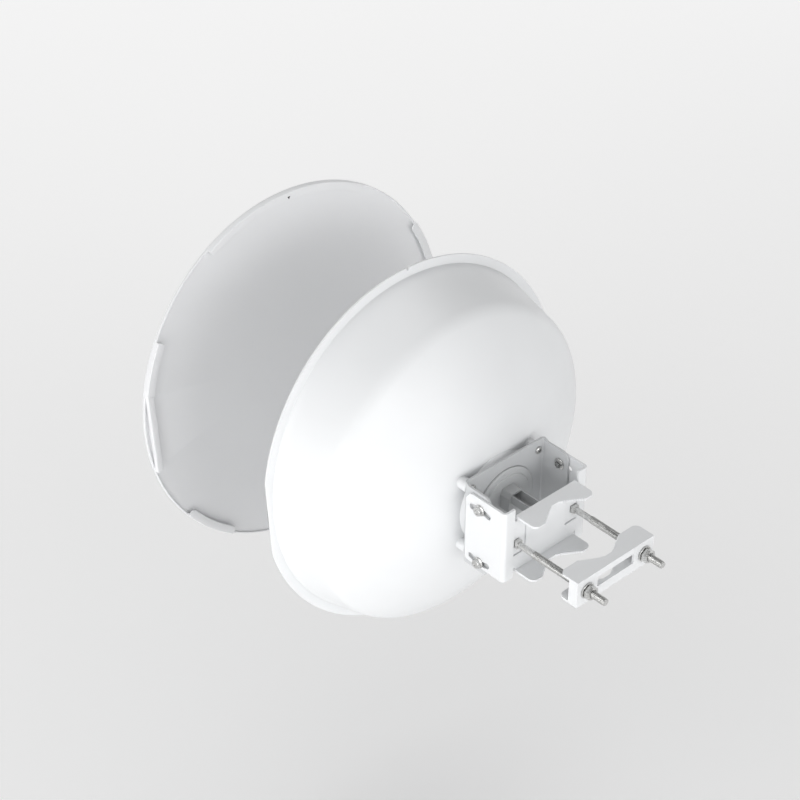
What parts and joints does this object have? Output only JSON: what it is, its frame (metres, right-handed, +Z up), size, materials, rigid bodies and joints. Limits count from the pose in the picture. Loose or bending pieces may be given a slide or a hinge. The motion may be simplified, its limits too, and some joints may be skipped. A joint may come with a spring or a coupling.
{
  "type": "outdoor wireless bridge",
  "caption": "Outdoor radio bridge: shrouded dish with its radio in the feed, a clip-on radome and a tilting steel bracket that clamps to a pole.",
  "frame": {"origin": "on the axis of a 50 mm pole held in the fixed jaws, at the height of the tilt axis", "axes": "+Z up along the pole, -Y the way the dish looks, +X to the left-hand side of someone who stands behind the unit"},
  "size_m": [0.4208, 0.5264, 0.42],
  "materials": {
    "bracket_paint": "white powder coat, fine orange peel",
    "dish_paint": "white powder coat, smooth satin",
    "zinc_plate": "bright zinc plate",
    "white_plastic": "UV-stable white plastic, fine moulded texture",
    "radome_plastic": "light grey moulded plastic",
    "natural_plastic": "natural low-loss plastic",
    "spun_aluminium": "spun, fine circular marks",
    "tinned_steel": "tin plate",
    "circuit_board": "green solder mask",
    "bare_brass": "turned",
    "clear_lens": "clear moulded light guide",
    "dark_plastic": "dark moulded plastic",
    "black_foam": "closed-cell foam strip",
    "black_rubber": "moulded gasket"
  },
  "bodies": {
    "pole_side": {"pole_bracket": "bracket_paint", "carriage_bolt_left": "zinc_plate", "carriage_bolt_right": "zinc_plate"},
    "clamp": {"clamp_bracket": "bracket_paint", "clamp_washer_left": "zinc_plate", "clamp_washer_right": "zinc_plate", "clamp_nut_left": "zinc_plate", "clamp_nut_right": "zinc_plate"},
    "dish": {"dish_bracket": "bracket_paint", "bracket_screw_upper_left": "zinc_plate", "bracket_screw_upper_right": "zinc_plate", "bracket_screw_lower_left": "zinc_plate", "bracket_screw_lower_right": "zinc_plate", "tilt_bolt_upper_left": "zinc_plate", "tilt_bolt_upper_right": "zinc_plate", "tilt_bolt_lower_left": "zinc_plate", "tilt_bolt_lower_right": "zinc_plate", "tilt_nut_upper_left": "zinc_plate", "tilt_nut_upper_right": "zinc_plate", "tilt_nut_lower_left": "zinc_plate", "tilt_nut_lower_right": "zinc_plate", "reflector": "dish_paint", "rim_seal": "black_foam", "feed_housing": "white_plastic", "hub_gasket": "black_rubber", "feed_spacer": "natural_plastic", "sub_reflector": "spun_aluminium", "radio_board": "circuit_board", "rf_shield": "tinned_steel", "feed_probe": "bare_brass", "ethernet_jack": "tinned_steel", "rear_hub": "white_plastic", "cable_channel": "white_plastic", "status_light": "clear_lens", "ground_screw": "zinc_plate"},
    "radome": {"radome_cover": "radome_plastic"},
    "button": {"reset_button": "dark_plastic"}
  },
  "joints": [
    {"name": "clamp_slide", "type": "slide", "parent": "pole_side", "child": "clamp", "axis": [0, -1, 0], "range_m": [-0.012, 0.044]},
    {"name": "dish_tilt", "type": "hinge", "parent": "pole_side", "child": "dish", "pos_m": [0, -0.0725, 0], "axis": [1, 0, 0], "range_deg": [-18, 18]},
    {"name": "radome_slide", "type": "slide", "parent": "dish", "child": "radome", "axis": [0, 1, 0], "range_m": [0, 0.1934]},
    {"name": "reset_press", "type": "slide", "parent": "dish", "child": "button", "axis": [0, -1, 0], "range_m": [0, 0.0008], "stiffness_N_per_m": 300}
  ]
}
